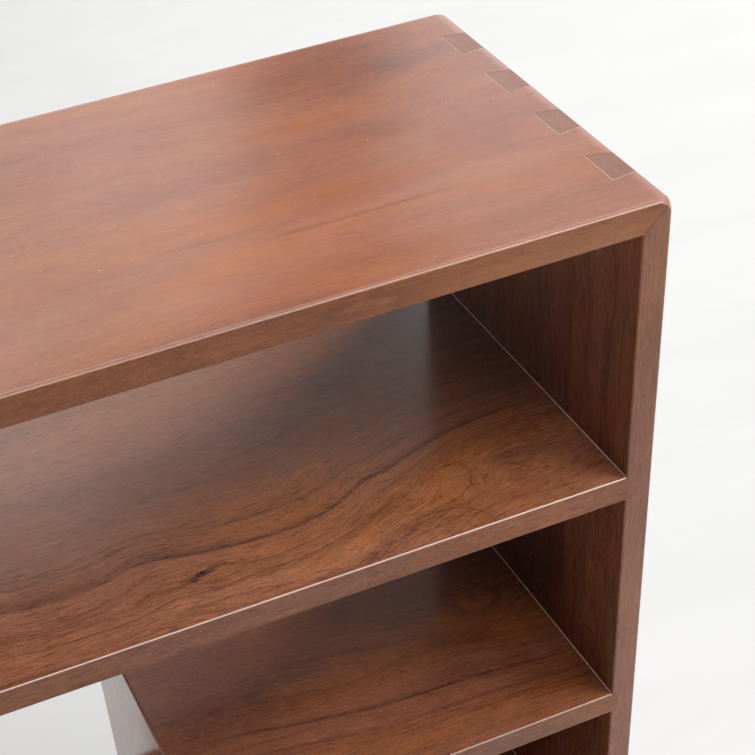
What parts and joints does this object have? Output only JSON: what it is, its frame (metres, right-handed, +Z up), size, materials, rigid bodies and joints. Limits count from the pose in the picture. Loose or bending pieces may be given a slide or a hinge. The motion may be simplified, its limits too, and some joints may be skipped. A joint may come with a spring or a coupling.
{
  "type": "bookcase",
  "caption": "Open-backed hardwood bookcase with dovetailed corners, a half shelf over a short divider, and loose shelves on pins in its lower bays.",
  "frame": {"origin": "on the floor, under the middle of the case", "axes": "+X to the right seen from the front, +Y from front to back, +Z up"},
  "size_m": [0.9, 0.31, 1.16],
  "materials": {
    "top_board": "satin lacquer",
    "side_left": "satin lacquer",
    "side_right": "satin lacquer",
    "bottom_board": "satin lacquer",
    "upper_shelf": "satin lacquer",
    "half_shelf": "satin lacquer",
    "half_divider": "satin lacquer",
    "mitre_spline": "satin lacquer",
    "deck_shelf": "satin lacquer",
    "lower_divider": "satin lacquer",
    "shelf_left": "satin lacquer",
    "shelf_right": "satin lacquer",
    "plinth_front": "satin lacquer",
    "plinth_back": "satin lacquer",
    "plinth_left": "satin lacquer",
    "plinth_right": "satin lacquer",
    "plinth_blocks": "bare",
    "pin_brass": "satin",
    "sleeve_brass": "satin",
    "screw_steel": "zinc plated",
    "glide_nylon": "matte"
  },
  "bodies": {
    "case": {"top_board": "top_board", "side_left": "side_left", "side_right": "side_right", "bottom_board": "bottom_board", "upper_shelf": "upper_shelf", "half_shelf": "half_shelf", "half_divider": "half_divider", "mitre_spline": "mitre_spline", "deck_shelf": "deck_shelf", "lower_divider": "lower_divider", "plinth_front": "plinth_front", "plinth_back": "plinth_back", "plinth_left": "plinth_left", "plinth_right": "plinth_right", "plinth_blocks": "plinth_blocks", "sleeves_left": "sleeve_brass", "sleeves_divider": "sleeve_brass", "sleeves_right": "sleeve_brass", "plinth_screws": "screw_steel", "glides": "glide_nylon"},
    "shelf_left": {"shelf_left": "shelf_left"},
    "shelf_right": {"shelf_right": "shelf_right"},
    "pin_left_1": {"pin_left_1": "pin_brass"},
    "pin_left_2": {"pin_left_2": "pin_brass"},
    "pin_left_3": {"pin_left_3": "pin_brass"},
    "pin_left_4": {"pin_left_4": "pin_brass"},
    "pin_right_1": {"pin_right_1": "pin_brass"},
    "pin_right_2": {"pin_right_2": "pin_brass"},
    "pin_right_3": {"pin_right_3": "pin_brass"},
    "pin_right_4": {"pin_right_4": "pin_brass"}
  },
  "joints": [
    {"name": "lift_left", "type": "slide", "parent": "case", "child": "shelf_left", "axis": [0, 0, 1], "range_m": [0, 0.188]},
    {"name": "lift_right", "type": "slide", "parent": "case", "child": "shelf_right", "axis": [0, 0, 1], "range_m": [0, 0.156]},
    {"name": "pull_left_1", "type": "slide", "parent": "case", "child": "pin_left_1", "axis": [1, 0, 0], "range_m": [0, 0.015]},
    {"name": "pull_left_2", "type": "slide", "parent": "case", "child": "pin_left_2", "axis": [1, 0, 0], "range_m": [0, 0.015]},
    {"name": "pull_left_3", "type": "slide", "parent": "case", "child": "pin_left_3", "axis": [-1, 0, 0], "range_m": [0, 0.015]},
    {"name": "pull_left_4", "type": "slide", "parent": "case", "child": "pin_left_4", "axis": [-1, 0, 0], "range_m": [0, 0.015]},
    {"name": "pull_right_1", "type": "slide", "parent": "case", "child": "pin_right_1", "axis": [1, 0, 0], "range_m": [0, 0.015]},
    {"name": "pull_right_2", "type": "slide", "parent": "case", "child": "pin_right_2", "axis": [1, 0, 0], "range_m": [0, 0.015]},
    {"name": "pull_right_3", "type": "slide", "parent": "case", "child": "pin_right_3", "axis": [-1, 0, 0], "range_m": [0, 0.015]},
    {"name": "pull_right_4", "type": "slide", "parent": "case", "child": "pin_right_4", "axis": [-1, 0, 0], "range_m": [0, 0.015]}
  ]
}
